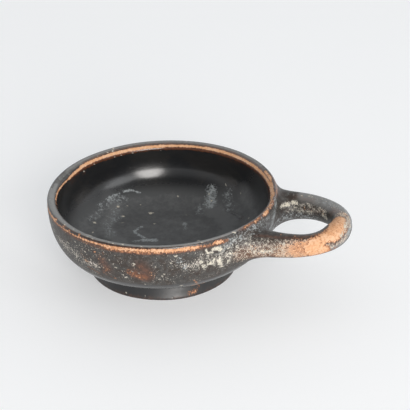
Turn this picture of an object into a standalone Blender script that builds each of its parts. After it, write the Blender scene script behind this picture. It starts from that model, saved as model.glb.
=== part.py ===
# One-handled dish of fired clay: a turned bowl on a ring foot, with a loop handle.
# It is one piece. The handle points along +X and +Z is up. The origin lies on the
# ground, under the middle of the dish's box.

import math

import bmesh
import bpy
from mathutils import Matrix, Vector

MM = 0.001

# Bowl, measured from its own axis and from the ground
BOWL_RADIUS = 62.5 * MM
BOWL_HEIGHT = 45.4 * MM

# Lip: a rounded crest, a top that slopes inward, then a steep band down to the inside.
# Each point is (radius, height).
LIP_ROUND = 1.7 * MM
LIP_TOP_EDGE = (60.5 * MM, 45.35 * MM)
LIP_INNER_EDGE = (58.05 * MM, 43.95 * MM)
LIP_BAND_TOP = (57.75 * MM, 43.6 * MM)
LIP_BAND_FOOT = (57.1 * MM, 42.2 * MM)

# Outer wall: nearly upright above, turning in to the foot below
WALL_FOOT_RADIUS = 38.8 * MM
WALL_FOOT_HEIGHT = 10.2 * MM
WALL_RADIAL_POWER = 1.11
WALL_HEIGHT_POWER = 0.86

# Inside: the same kind of curve, running out into a shallow dished floor
FLOOR_RADIUS = 30.0 * MM
FLOOR_EDGE_HEIGHT = 14.0 * MM
FLOOR_CENTRE_HEIGHT = 13.2 * MM

# Ring foot
FOOT_RADIUS = 41.25 * MM
FOOT_WAIST = 38.2 * MM
FOOT_HEIGHT = 8.8 * MM
FOOT_FLARE_POWER = 1.5
FOOT_EDGE_ROUND = 0.6 * MM
FOOT_RING_WIDTH = 4.6 * MM
FOOT_INNER_TOP_RADIUS = 33.4 * MM
GROOVE_DEPTH = 0.7 * MM
UNDERSIDE_HEIGHT = 7.4 * MM
UNDERSIDE_RISE = 0.5 * MM

# The bowl leans on its foot: the handle's side is high and the foot sits back
LEAN = math.radians(1.25)
FOOT_SET_BACK = 1.5 * MM

# Handle: half of its centre line is a Bezier curve from the tip to the wall
HANDLE_TIP = 99.1 * MM
HANDLE_TIP_PULL = 17.1 * MM
HANDLE_SIDE = (79.2 * MM, 26.3 * MM)
HANDLE_ROOT = (53.9 * MM, 21.8 * MM)
HANDLE_TIP_HEIGHT = 35.3 * MM
HANDLE_ROOT_HEIGHT = 34.1 * MM
TIP_WIDTH = 10.9 * MM
TIP_THICKNESS = 13.1 * MM
ROOT_WIDTH = 10.6 * MM
ROOT_THICKNESS = 14.0 * MM

# The clay is drawn out onto the wall round each root by these amounts
FLARE_OUTSIDE_HIGH = 10.0 * MM
FLARE_OUTSIDE_LOW = 15.0 * MM
FLARE_INSIDE_HIGH = 7.0 * MM
FLARE_INSIDE_LOW = 12.0 * MM
FLARE_UP = 3.2 * MM
FLARE_DOWN = 10.0 * MM
ROOT_DEPTH = 2.5 * MM            # how far the handle runs into the wall
WALL_FIT_START = 15.0 * MM       # rings nearer the wall than this bend to its shape
WALL_FIT_END = 2.0 * MM

# Facets
BOWL_SEGMENTS = 80
LIP_STEPS = 4
WALL_STEPS = 10
FOOT_STEPS = 4
FLOOR_STEPS = 3
HANDLE_SIDES = 20
HANDLE_RINGS = 15                # on each half
HANDLE_RING_CROWDING = 1.4       # above 1, rings crowd together towards the wall
MERGE_DISTANCE = 0.001 * MM
SHARP_ANGLE = math.radians(35)

CLAY_COLOUR = (0.045, 0.040, 0.037, 1.0)
CLAY_ROUGHNESS = 0.45


def mix(start, end, share):
    return start + (end - start) * share


def ease(value, start, end):
    """Smooth step: 0 at start, 1 at end, level at both."""
    share = min(max((value - start) / (end - start), 0.0), 1.0)
    return share * share * (3 - 2 * share)


def wall_curve(top_r, top_z, end_r, end_z, turn):
    """Point of a wall: upright at turn 0, flat at turn pi/2."""
    r = top_r - (top_r - end_r) * (1 - math.cos(turn)) ** WALL_RADIAL_POWER
    z = top_z - (top_z - end_z) * math.sin(turn) ** WALL_HEIGHT_POWER
    return r, z


def outer_wall(turn):
    return wall_curve(BOWL_RADIUS, BOWL_HEIGHT - LIP_ROUND,
                      WALL_FOOT_RADIUS, WALL_FOOT_HEIGHT, turn)


def inner_wall(turn):
    return wall_curve(*LIP_BAND_FOOT, FLOOR_RADIUS, FLOOR_EDGE_HEIGHT, turn)


def outer_radius_at(z):
    """Radius of the outer wall at a height between the foot and the lip."""
    top = BOWL_HEIGHT - LIP_ROUND
    if z >= top:
        rise = min(z - top, LIP_ROUND)
        return BOWL_RADIUS - LIP_ROUND + math.sqrt(LIP_ROUND ** 2 - rise ** 2)
    share = min((top - z) / (top - WALL_FOOT_HEIGHT), 1.0)
    return outer_wall(math.asin(share ** (1 / WALL_HEIGHT_POWER)))[0]


def lip_profile():
    """The lip's outer round, from its crest down to the top of the wall."""
    points = []
    for i in range(LIP_STEPS + 1):
        turn = math.pi / 2 * i / LIP_STEPS
        points.append((BOWL_RADIUS - LIP_ROUND * (1 - math.sin(turn)),
                       BOWL_HEIGHT - LIP_ROUND * (1 - math.cos(turn))))
    return points


def foot_profile():
    """From the groove under the wall, round the ring foot, to the underside's middle."""
    groove_height = (WALL_FOOT_HEIGHT + FOOT_HEIGHT) / 2
    points = [(FOOT_WAIST - GROOVE_DEPTH, groove_height)]
    for i in range(FOOT_STEPS + 1):
        share = i / FOOT_STEPS
        points.append((mix(FOOT_WAIST, FOOT_RADIUS, share ** FOOT_FLARE_POWER),
                       mix(FOOT_HEIGHT, FOOT_EDGE_ROUND, share)))
    ring_outside = FOOT_RADIUS - FOOT_EDGE_ROUND
    ring_inside = ring_outside - FOOT_RING_WIDTH
    points += [(ring_outside, 0.0),
               (ring_inside, 0.0),
               (ring_inside - FOOT_EDGE_ROUND, FOOT_EDGE_ROUND),
               (FOOT_INNER_TOP_RADIUS, UNDERSIDE_HEIGHT - FOOT_EDGE_ROUND),
               (FOOT_INNER_TOP_RADIUS - 2 * FOOT_EDGE_ROUND, UNDERSIDE_HEIGHT)]
    for share in (0.5, 0.0):
        rise = UNDERSIDE_RISE * (1 - share ** 2)
        points.append((FOOT_INNER_TOP_RADIUS * share, UNDERSIDE_HEIGHT + rise))
    return points


def bowl_profile():
    """The turned section: from the lip's crest down outside, and up inside."""
    turns = [math.pi / 2 * i / WALL_STEPS for i in range(WALL_STEPS + 1)]
    outside = lip_profile() + [outer_wall(turn) for turn in turns[1:]] + foot_profile()
    floor = []
    for i in range(FLOOR_STEPS):
        share = i / FLOOR_STEPS
        floor.append((FLOOR_RADIUS * share,
                      mix(FLOOR_CENTRE_HEIGHT, FLOOR_EDGE_HEIGHT, share ** 2)))
    inside = floor + [inner_wall(turn) for turn in reversed(turns)]
    return outside + inside + [LIP_BAND_TOP, LIP_INNER_EDGE, LIP_TOP_EDGE]


def lean(point):
    """Set the bowl at its lean, easing in over the height of the foot."""
    leaned = Matrix.Rotation(-LEAN, 4, "Y") @ point
    stood = point - Vector((FOOT_SET_BACK, 0, 0))
    return stood.lerp(leaned, ease(point.z, 0.0, WALL_FOOT_HEIGHT))


def new_object(name, bm):
    for vert in bm.verts:
        vert.co = lean(vert.co)
    bmesh.ops.recalc_face_normals(bm, faces=bm.faces)
    mesh = bpy.data.meshes.new(name)
    bm.to_mesh(mesh)
    bm.free()
    mesh.shade_smooth()
    mesh.set_sharp_from_angle(angle=SHARP_ANGLE)
    obj = bpy.data.objects.new(name, mesh)
    bpy.context.scene.collection.objects.link(obj)
    return obj


def make_bowl():
    bm = bmesh.new()
    verts = [bm.verts.new((r, 0, z)) for r, z in bowl_profile()]
    pairs = zip(verts, verts[1:] + verts[:1])
    # the floor's middle and the underside's middle, both on the axis, stay unjoined
    edges = [bm.edges.new(pair) for pair in pairs if max(v.co.x for v in pair) > MM]
    bmesh.ops.spin(bm, geom=verts + edges, axis=(0, 0, 1), cent=(0, 0, 0),
                   angle=math.tau, steps=BOWL_SEGMENTS, use_merge=True)
    bmesh.ops.remove_doubles(bm, verts=bm.verts, dist=MERGE_DISTANCE)
    return new_object("dish", bm)


def centre_line(t):
    """Handle's centre line: t 0 at the tip, 1 and -1 at the two roots."""
    s = abs(t)
    points = ((HANDLE_TIP, 0), (HANDLE_TIP, HANDLE_TIP_PULL), HANDLE_SIDE, HANDLE_ROOT)
    weights = ((1 - s) ** 3, 3 * (1 - s) ** 2 * s, 3 * (1 - s) * s ** 2, s ** 3)
    x = sum(w * p[0] for w, p in zip(weights, points))
    y = sum(w * p[1] for w, p in zip(weights, points))
    z = mix(HANDLE_TIP_HEIGHT, HANDLE_ROOT_HEIGHT, s ** 2)
    return Vector((x, math.copysign(y, t), z))


def flare(reach, gap):
    """Fillet: how much a side widens at this gap from the wall."""
    inside = reach - min(max(gap, 0.0), reach)
    return reach - math.sqrt(reach ** 2 - inside ** 2)


def to_wall(point, along, gap):
    """Slide a point along the handle until it is the given gap from the wall."""
    target = outer_radius_at(point.z) + gap
    a = along.x ** 2 + along.y ** 2
    b = point.x * along.x + point.y * along.y
    c = point.x ** 2 + point.y ** 2 - target ** 2
    return point + along * ((-b - math.sqrt(b * b - a * c)) / a)


def handle_ring(t):
    """One section of the handle, an oval that spreads as it nears the wall."""
    centre = centre_line(t)
    side_of_dish = math.copysign(1, t)
    to_root = (centre_line(t + side_of_dish * MM) - centre).normalized()
    outward = Vector((to_root.y, -to_root.x, 0)).normalized() * side_of_dish
    gap = math.hypot(centre.x, centre.y) - outer_radius_at(centre.z)
    fit = ease(-gap, -WALL_FIT_START, -WALL_FIT_END)
    ring = []
    for i in range(HANDLE_SIDES):
        turn = math.tau * i / HANDLE_SIDES
        across, up = math.cos(turn), math.sin(turn)
        height = (1 + up) / 2
        if across > 0:
            reach = mix(FLARE_OUTSIDE_LOW, FLARE_OUTSIDE_HIGH, height)
        else:
            reach = mix(FLARE_INSIDE_LOW, FLARE_INSIDE_HIGH, height)
        half_width = mix(TIP_WIDTH, ROOT_WIDTH, t * t) / 2 + flare(reach, gap)
        reach = FLARE_UP if up > 0 else FLARE_DOWN
        half_thickness = mix(TIP_THICKNESS, ROOT_THICKNESS, t * t) / 2 + flare(reach, gap)
        point = centre + outward * (half_width * across)
        point.z += half_thickness * up
        if fit > 0:
            point = point.lerp(to_wall(point, to_root, max(gap, -ROOT_DEPTH)), fit)
        ring.append(point)
    return ring


def make_handle():
    bm = bmesh.new()
    rings = []
    for i in range(-HANDLE_RINGS, HANDLE_RINGS + 1):
        share = abs(i) / HANDLE_RINGS
        t = math.copysign(1 - (1 - share) ** HANDLE_RING_CROWDING, i)
        verts = [bm.verts.new(point) for point in handle_ring(t)]
        rings.append([bm.edges.new(pair) for pair in zip(verts, verts[1:] + verts[:1])])
    for ring, next_ring in zip(rings, rings[1:]):
        bmesh.ops.bridge_loops(bm, edges=ring + next_ring)
    bmesh.ops.holes_fill(bm, edges=rings[0] + rings[-1])
    return new_object("handle_form", bm)


def clay_material():
    material = bpy.data.materials.new("black_gloss_clay")
    material.use_nodes = True
    shader = material.node_tree.nodes["Principled BSDF"]
    shader.inputs["Base Color"].default_value = CLAY_COLOUR
    shader.inputs["Roughness"].default_value = CLAY_ROUGHNESS
    shader.inputs["Metallic"].default_value = 0.0
    return material


def build():
    for obj in list(bpy.data.objects):
        bpy.data.objects.remove(obj, do_unlink=True)
    bowl = make_bowl()
    handle = make_handle()
    handle.hide_render = True
    handle.display_type = "WIRE"
    join = bowl.modifiers.new("join_handle", "BOOLEAN")
    join.operation = "UNION"
    join.solver = "EXACT"
    join.object = handle
    bowl.data.materials.append(clay_material())
    back = min(v.co.x for v in bowl.data.vertices)
    front = max(v.co.x for v in handle.data.vertices)
    for obj in (bowl, handle):
        obj.location.x = -(back + front) / 2


build()
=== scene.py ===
import math
import random

import bmesh
import bpy
import numpy as np
from mathutils import Matrix, Vector, noise
from mathutils.kdtree import KDTree


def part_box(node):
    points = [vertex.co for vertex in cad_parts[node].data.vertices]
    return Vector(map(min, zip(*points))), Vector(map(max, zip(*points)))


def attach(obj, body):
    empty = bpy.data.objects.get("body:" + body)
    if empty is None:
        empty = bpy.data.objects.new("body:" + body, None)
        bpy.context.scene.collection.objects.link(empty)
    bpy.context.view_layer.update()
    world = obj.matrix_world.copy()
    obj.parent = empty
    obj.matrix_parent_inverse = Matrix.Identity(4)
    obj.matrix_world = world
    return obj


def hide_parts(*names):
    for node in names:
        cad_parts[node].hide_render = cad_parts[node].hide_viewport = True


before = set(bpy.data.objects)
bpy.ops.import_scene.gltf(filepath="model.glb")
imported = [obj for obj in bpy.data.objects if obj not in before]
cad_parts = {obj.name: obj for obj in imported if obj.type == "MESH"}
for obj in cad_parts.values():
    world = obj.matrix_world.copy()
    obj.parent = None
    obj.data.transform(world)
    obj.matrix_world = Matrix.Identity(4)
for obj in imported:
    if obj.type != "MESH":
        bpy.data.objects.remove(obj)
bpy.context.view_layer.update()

# A shallow one-handled bowl of fired clay under a worn black gloss. Its shape is worked out in
# millimetres, from the bowl's own axis and from the ground, and set leaning on its foot at the end.
mm = 0.001
print("frame loaded")

bowl = {
    "rimRadius": 62.5,
    "rimHeight": 45.4,
    "lipRound": 1.7,
    "lipTopEdge": (60.5, 45.35),  # radius and height of each corner of the lip
    "lipInnerEdge": (58.05, 43.95),
    "bandTop": (57.75, 43.6),
    "bandFoot": (57.1, 42.2),
    "wallFoot": (38.8, 10.2),
    "wallSpread": 1.11,  # how late the wall turns in
    "wallDrop": 0.86,
    "floorEdge": (30.0, 14.0),
    "floorMiddle": 13.2,
    "footRadius": 41.25,
    "footWaist": 38.2,
    "footHeight": 8.8,
    "footFlare": 1.15,
    "footEdgeRound": 0.6,
    "footRingWidth": 4.6,
    "footInnerTop": 33.4,
    "grooveDepth": 0.7,
    "undersideHeight": 7.4,
    "undersideRise": 0.5,
    "wallMiddle": 2.7,  # half the wall's thickness
    "segments": 352,
    "curveSteps": 50,  # points of the outline, by place
    "lipSteps": 8,
    "footSteps": 8,
    "floorSteps": 5,
    "undersideSteps": 4,
    "lipRows": 0.36,  # distance between rows of the mesh, by place
    "footRows": 0.55,
    "wallRows": 0.62,
    "innerRows": 1.0,
    "floorRows": 0.8,
    "undersideRows": 1.8,
    "lipRowsBelow": 1,  # how far finer rows go on past a place's edge
    "footRowsAbove": 0.5,
    "footRowsWithin": 2,
    "cornerSmoothing": 3,  # passes
    "smoothing": 0.5,
    "weld": 0.001,
}
shoulder = (bowl["rimRadius"], bowl["rimHeight"] - bowl["lipRound"])
midFloor = (bowl["floorMiddle"] + bowl["undersideHeight"]) / 2


def mix(start, end, share):
    return start + (end - start) * share


def ease(value, start, end):
    share = min(max((value - start) / (end - start), 0.0), 1.0)
    return share * share * (3 - 2 * share)


def wallPoint(top, foot, turn):
    # upright at turn 0, level at a quarter turn
    radius = top[0] - (top[0] - foot[0]) * (1 - math.cos(turn)) ** bowl["wallSpread"]
    height = top[1] - (top[1] - foot[1]) * math.sin(turn) ** bowl["wallDrop"]
    return radius, height


def outerRadiusAt(height):
    # the lip's rounding above the shoulder, the wall's curve below it
    drop = shoulder[1] - height
    if drop <= 0:
        rise = min(-drop, bowl["lipRound"])
        return shoulder[0] - bowl["lipRound"] + math.sqrt(bowl["lipRound"] ** 2 - rise ** 2)
    share = min(drop / (shoulder[1] - bowl["wallFoot"][1]), 1.0)
    return wallPoint(shoulder, bowl["wallFoot"], math.asin(share ** (1 / bowl["wallDrop"])))[0]


def footOutline():
    # from the groove under the wall, round the ring foot, to the underside's middle
    rounding = bowl["footEdgeRound"]
    points = [(bowl["footWaist"] - bowl["grooveDepth"], (bowl["wallFoot"][1] + bowl["footHeight"]) / 2)]
    for i in range(bowl["footSteps"] + 1):
        share = i / bowl["footSteps"]
        points.append((mix(bowl["footWaist"], bowl["footRadius"], share ** bowl["footFlare"]),
                       mix(bowl["footHeight"], rounding, share)))
    outside = bowl["footRadius"] - rounding
    inside = outside - bowl["footRingWidth"]
    underside = bowl["undersideHeight"]
    points += [(outside, 0), (inside, 0), (inside - rounding, rounding),
               (bowl["footInnerTop"], underside - rounding),
               (bowl["footInnerTop"] - 2 * rounding, underside)]
    for i in reversed(range(bowl["undersideSteps"])):
        share = i / bowl["undersideSteps"]
        rise = bowl["undersideRise"] * (1 - share ** 2)
        points.append((bowl["footInnerTop"] * share, underside + rise))
    return points


def bowlOutline():
    # the turned section, from the lip's crest down outside, and from the floor's middle up inside
    turns = [math.pi / 2 * i / bowl["curveSteps"] for i in range(bowl["curveSteps"] + 1)]
    lip = []
    for i in range(bowl["lipSteps"] + 1):
        turn = math.pi / 2 * i / bowl["lipSteps"]
        lip.append((shoulder[0] - bowl["lipRound"] * (1 - math.sin(turn)),
                    bowl["rimHeight"] - bowl["lipRound"] * (1 - math.cos(turn))))
    outside = lip + [wallPoint(shoulder, bowl["wallFoot"], turn) for turn in turns[1:]]
    floor = []
    for i in range(bowl["floorSteps"]):
        share = i / bowl["floorSteps"]
        floor.append((bowl["floorEdge"][0] * share,
                      mix(bowl["floorMiddle"], bowl["floorEdge"][1], share ** 2)))
    inside = [wallPoint(bowl["bandFoot"], bowl["floorEdge"], turn) for turn in reversed(turns)]
    top = [bowl["bandTop"], bowl["lipInnerEdge"], bowl["lipTopEdge"]]
    return outside + footOutline(), floor + inside + top


def rowsAt(point):
    if point.z > bowl["bandFoot"][1] - bowl["lipRowsBelow"]:
        return bowl["lipRows"]
    if point.x < bowl["footInnerTop"] - bowl["footRowsWithin"]:
        return bowl["floorRows" if point.z > midFloor else "undersideRows"]
    if point.z < bowl["wallFoot"][1] + bowl["footRowsAbove"]:
        return bowl["footRows"]
    if point.x < outerRadiusAt(point.z) - bowl["wallMiddle"]:
        return bowl["innerRows"]
    return bowl["wallRows"]


def drawLine(bm, points):
    tip = bm.verts.new((points[0][0], 0, points[0][1]))
    line = [tip]
    for radius, height in points[1:]:
        tip = bmesh.ops.extrude_vert_indiv(bm, verts=[tip])["verts"][0]
        tip.co = (radius, 0, height)
        line.append(tip)
    return line


def turnBowl():
    bm = bmesh.new()
    outside, inside = bowlOutline()
    crest = drawLine(bm, outside)[0]
    lipTop = drawLine(bm, inside)[-1]
    bm.edges.new((lipTop, crest))
    for edge in list(bm.edges):
        middle = (edge.verts[0].co + edge.verts[1].co) / 2
        cuts = round(edge.calc_length() / rowsAt(middle)) - 1
        if cuts > 0:
            bmesh.ops.subdivide_edges(bm, edges=[edge], cuts=cuts)
    # the two ends of the outline stay on the axis
    between = [vert for vert in bm.verts if len(vert.link_edges) == 2]
    for _ in range(bowl["cornerSmoothing"]):
        bmesh.ops.smooth_vert(bm, verts=between, factor=bowl["smoothing"],
                              use_axis_x=True, use_axis_z=True)
    bmesh.ops.spin(bm, geom=bm.verts[:] + bm.edges[:], axis=(0, 0, 1), cent=(0, 0, 0),
                   angle=math.tau, steps=bowl["segments"], use_merge=True)
    bmesh.ops.remove_doubles(bm, verts=bm.verts, dist=bowl["weld"])
    bmesh.ops.recalc_face_normals(bm, faces=bm.faces)
    return bm


handle = {
    "tip": 99.1,  # the centre line from above, as x and y from the bowl's axis
    "tipPull": 17.1,
    "side": (79.2, 26.3),
    "root": (53.9, 21.8),
    "tipHeight": 35.3,
    "rootHeight": 34.1,
    "tipWidth": 10.9,
    "tipThickness": 13.1,
    "rootWidth": 10.6,
    "rootThickness": 14.0,
    "flareOutside": (15.0, 10.0),  # how far the clay is drawn onto the wall, low down and high up
    "flareInside": (13.0, 7.5),
    "flareDown": 10.0,
    "flareUp": 3.2,
    "farRoot": 1.25,  # the far root is drawn this much further onto the wall
    # uneven places: t, turn in degrees, their reach along and round, and how far they stand out
    "swellings": ((-0.14, 150, 0.15, 50, 1.5), (-0.50, 112, 0.20, 38, -1.5), (-0.93, 140, 0.14, 50, 1.4),
                  (0.24, 265, 0.18, 50, -1.0), (0.85, 250, 0.18, 60, 2.6)),
    "rootDepth": 2.5,
    "wallFit": (15.0, 2.0),  # rings bend to the wall's shape between these gaps
    "sides": 56,
    "ringsEachHalf": 70,
    "crowding": 1.4,  # rings stand closer towards the roots
    "directionStep": 0.001,
}


def centreLine(t):
    # t 0 at the tip, 1 and -1 at the two roots
    s = abs(t)
    points = ((handle["tip"], 0), (handle["tip"], handle["tipPull"]), handle["side"], handle["root"])
    weights = ((1 - s) ** 3, 3 * (1 - s) ** 2 * s, 3 * (1 - s) * s ** 2, s ** 3)
    x = sum(w * p[0] for w, p in zip(weights, points))
    y = sum(w * p[1] for w, p in zip(weights, points))
    return Vector((x, math.copysign(y, t), mix(handle["tipHeight"], handle["rootHeight"], s * s)))


def flare(reach, gap):
    inside = reach - min(max(gap, 0.0), reach)
    return reach - math.sqrt(reach ** 2 - inside ** 2)


def toWall(point, along, gap):
    # slides a point along the strand until it is this far from the wall
    target = outerRadiusAt(point.z) + gap
    a = along.x ** 2 + along.y ** 2
    b = point.x * along.x + point.y * along.y
    c = point.x ** 2 + point.y ** 2 - target ** 2
    return point + along * ((-b - math.sqrt(b * b - a * c)) / a)


def handlePoint(t, turn):
    # turn 0 is the outer side of the loop, a quarter turn its top
    centre = centreLine(t)
    toRoot = (centreLine(t + math.copysign(handle["directionStep"], t)) - centre).normalized()
    outward = Vector((toRoot.y, -toRoot.x, 0)).normalized() * math.copysign(1, t)
    gap = math.hypot(centre.x, centre.y) - outerRadiusAt(centre.z)
    across, up = math.cos(turn), math.sin(turn)
    drawn = handle["farRoot"] if t > 0 else 1
    reach = mix(*handle["flareOutside" if across > 0 else "flareInside"], (1 + up) / 2) * drawn
    halfWidth = mix(handle["tipWidth"], handle["rootWidth"], t * t) / 2 + flare(reach, gap)
    reach = handle["flareUp" if up > 0 else "flareDown"] * drawn
    halfThickness = mix(handle["tipThickness"], handle["rootThickness"], t * t) / 2 + flare(reach, gap)
    for middle, side, length, spread, swelling in handle["swellings"]:
        apart = math.remainder(math.degrees(turn) - side, 360) / spread
        swelling *= math.exp(-((t - middle) / length) ** 2 - apart ** 2)
        halfWidth += swelling * abs(across)
        halfThickness += swelling * abs(up)
    point = centre + outward * (halfWidth * across)
    point.z += halfThickness * up
    fit = ease(-gap, -handle["wallFit"][0], -handle["wallFit"][1])
    if fit > 0:
        point = point.lerp(toWall(point, toRoot, max(gap, -handle["rootDepth"])), fit)
    return point


def pullHandle():
    bm = bmesh.new()
    rings = []
    count = handle["ringsEachHalf"]
    for i in range(-count, count + 1):
        t = math.copysign(1 - (1 - abs(i) / count) ** handle["crowding"], i)
        ring = bmesh.ops.create_circle(bm, segments=handle["sides"], radius=1)["verts"]
        rings.append(list({edge for vert in ring for edge in vert.link_edges}))
        for vert in ring:
            vert.co = handlePoint(t, math.atan2(vert.co.y, vert.co.x))
    for ring, nextRing in zip(rings, rings[1:]):
        bmesh.ops.bridge_loops(bm, edges=ring + nextRing)
    bmesh.ops.holes_fill(bm, edges=rings[0] + rings[-1])
    bmesh.ops.recalc_face_normals(bm, faces=bm.faces)
    return bm


def asObject(name, bm):
    # the bmesh becomes a mesh in the scene
    mesh = bpy.data.meshes.new(name)
    bm.to_mesh(mesh)
    bm.free()
    made = bpy.data.objects.new(name, mesh)
    bpy.context.scene.collection.objects.link(made)
    return made


dish = asObject("wornDish", turnBowl())
strand = asObject("strand", pullHandle())
union = dish.modifiers.new("joinHandle", "BOOLEAN")
union.operation = "UNION"
union.solver = "EXACT"
union.object = strand
joined = bpy.data.meshes.new_from_object(dish.evaluated_get(bpy.context.evaluated_depsgraph_get()))
dish.modifiers.remove(union)
bpy.data.objects.remove(strand, do_unlink=True)
print("bowl turned, handle joined:", len(joined.vertices), "points")

seam = {
    "fromX": 30,  # the joint is looked for in this part of the wall
    "fromRadius": 45,
    "heights": (12, 45.3),
    "offWall": 0.12,  # a point further than this from the wall is the handle's
    "inward": 3,  # a neighbour this much nearer the bowl's middle doesn't count
    "zones": ((6.0, 3), (4.0, 4), (2.5, 5)),  # reach round the joint, and passes of smoothing
    "smoothing": 0.5,
}


def softenSeam(mesh):
    # rounds the line where the strands meet the wall, as wet clay is thumbed over a joint
    bm = bmesh.new()
    bm.from_mesh(mesh)
    bmesh.ops.triangulate(bm, faces=[face for face in bm.faces if len(face.verts) > 4])

    def offWall(vert):
        return abs(math.hypot(vert.co.x, vert.co.y) - outerRadiusAt(vert.co.z)) > seam["offWall"]

    def meetsHandle(vert):
        others = [edge.other_vert(vert) for edge in vert.link_edges]
        return any(offWall(other) and other.co.x > vert.co.x - seam["inward"] for other in others)

    low, high = seam["heights"]
    nearHandle = [vert for vert in bm.verts if vert.co.x > seam["fromX"] and low < vert.co.z < high
                  and math.hypot(vert.co.x, vert.co.y) > seam["fromRadius"]]
    joint = [vert for vert in nearHandle if not offWall(vert) and meetsHandle(vert)]
    jointTree = KDTree(len(joint))
    for i, vert in enumerate(joint):
        jointTree.insert(vert.co, i)
    jointTree.balance()
    for reach, passes in seam["zones"]:
        zone = [vert for vert in nearHandle if jointTree.find(vert.co)[2] < reach]
        for _ in range(passes):
            bmesh.ops.smooth_vert(bm, verts=zone, factor=seam["smoothing"],
                                  use_axis_x=True, use_axis_y=True, use_axis_z=True)
    bm.normal_update()
    bm.to_mesh(mesh)
    bm.free()


softenSeam(joined)
dish.data = joined

# Wear. Each patch or streak follows a line on the surface; places are named by azimuth and height
# on the wall, by azimuth, radius and height on the lip, by x and y inside, and by t and turn, in
# degrees, on the handle.
layout = {
    "wallSamples": 200,  # points worked out along the wall's curve, outside and inside
    "innerSamples": 100,
    "handleFade": 6,  # this far from the wall, the wear is all the handle's own
    "footPlace": 1.5,  # marks on the foot lie this far outside its waist
    "strokeStep": 0.7,
    "batch": 3000,
}
count = len(joined.vertices)
points = np.empty(count * 3)
joined.vertices.foreach_get("co", points)
points = points.reshape(-1, 3)
radii = np.hypot(points[:, 0], points[:, 1])
azimuths = np.arctan2(points[:, 1], points[:, 0])
heights = points[:, 2]
wallHeights = np.linspace(bowl["wallFoot"][1], bowl["rimHeight"], layout["wallSamples"])
wallRadii = np.array([outerRadiusAt(height) for height in wallHeights])
innerTurns = [math.pi / 2 * i / layout["innerSamples"] for i in range(layout["innerSamples"], -1, -1)]
innerCurve = np.array([wallPoint(bowl["bandFoot"], bowl["floorEdge"], turn) for turn in innerTurns])
beyondWall = radii - np.interp(heights, wallHeights, wallRadii)
inside = (beyondWall < -bowl["wallMiddle"]) & (heights > midFloor)
below = (heights < bowl["wallFoot"][1]) & ~inside
onHandle = np.clip(beyondWall / layout["handleFade"], 0, 1)


def lipPlace(azimuth, radius, height):
    turn = math.radians(azimuth)
    return radius * math.cos(turn), radius * math.sin(turn), height


def wallPlace(azimuth, height):
    onFoot = height <= bowl["wallFoot"][1]
    radius = bowl["footWaist"] + layout["footPlace"] if onFoot else outerRadiusAt(height)
    return lipPlace(azimuth, radius, height)


def insidePlace(x, y):
    return x, y, float(np.interp(math.hypot(x, y), innerCurve[:, 0], innerCurve[:, 1]))


def undersidePlace(x, y):
    return x, y, bowl["undersideHeight"]


def handlePlace(t, turn):
    return tuple(handlePoint(t, math.radians(turn)))


# bare and peppered clay, lime crust, thin red gloss, bluish haze that is in places a painted sheen, pale
# flecks, dulled gloss with a painted sheen where it is strongest, the film on the floor, the foot's softer
# gloss, and knocks
wear = {name: np.zeros(count) for name in
        ("bare", "pepper", "crust", "rust", "hazeAndSheen", "fleck", "worn", "film", "satin", "nick")}


def lineThrough(place, stops):
    # close points along the surface, from stop to stop
    line = [place(*stops[0])]
    for start, end in zip(stops, stops[1:]):
        steps = math.ceil(math.dist(place(*start), place(*end)) / layout["strokeStep"])
        for i in range(1, steps + 1):
            line.append(place(*(mix(a, b, i / steps) for a, b in zip(start, end))))
    return np.array(line)


def cover(line, halfWidth, soft, place):
    # the points of the mesh near a line, and how far each is covered, from 0 to 1
    reach = halfWidth + soft
    close = ((points > line.min(0) - reach) & (points < line.max(0) + reach)).all(1)
    if place is insidePlace:
        close &= inside
    elif place is not lipPlace:
        close &= ~inside
    close = np.flatnonzero(close)
    gaps = [np.linalg.norm(points[some, None] - line[None], axis=2).min(1)
            for some in np.array_split(close, len(close) // layout["batch"] + 1) if len(some)]
    gaps = np.concatenate(gaps) if gaps else np.zeros(0)
    return close, np.clip((halfWidth - gaps) / soft + 0.5, 0, 1)


def mark(layer, halfWidth, soft, place, stops, strength=1.0):
    # a stroke on one layer of the wear; above strength 1, a soft stroke gets a firmer edge
    close, share = cover(lineThrough(place, stops), halfWidth, soft, place)
    wear[layer][close] = np.maximum(wear[layer][close], share * strength)


def strokes(layer, place, rows):
    # each row has a half width, a softness, its stops, and a strength if it isn't 1
    for halfWidth, soft, *rest in rows:
        mark(layer, halfWidth, soft, place, *rest)


def clear(layers, halfWidth, soft, place, stops, strength=1.0):
    close, share = cover(lineThrough(place, stops), halfWidth, soft, place)
    for layer in layers:
        wear[layer][close] *= 1 - share * strength


def chips(layer, size, place, spots, depth=0.6, strength=1.0):
    # small knocks, each centred on a point of the mesh so that none falls between points
    for spot in spots:
        nearest = np.linalg.norm(points - place(*spot), axis=1).argmin()
        close, share = cover(points[nearest:nearest + 1], size, size, place)
        wear[layer][close] = np.maximum(wear[layer][close], share * strength)
        wear["nick"][close] = np.maximum(wear["nick"][close], share * depth)


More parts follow.
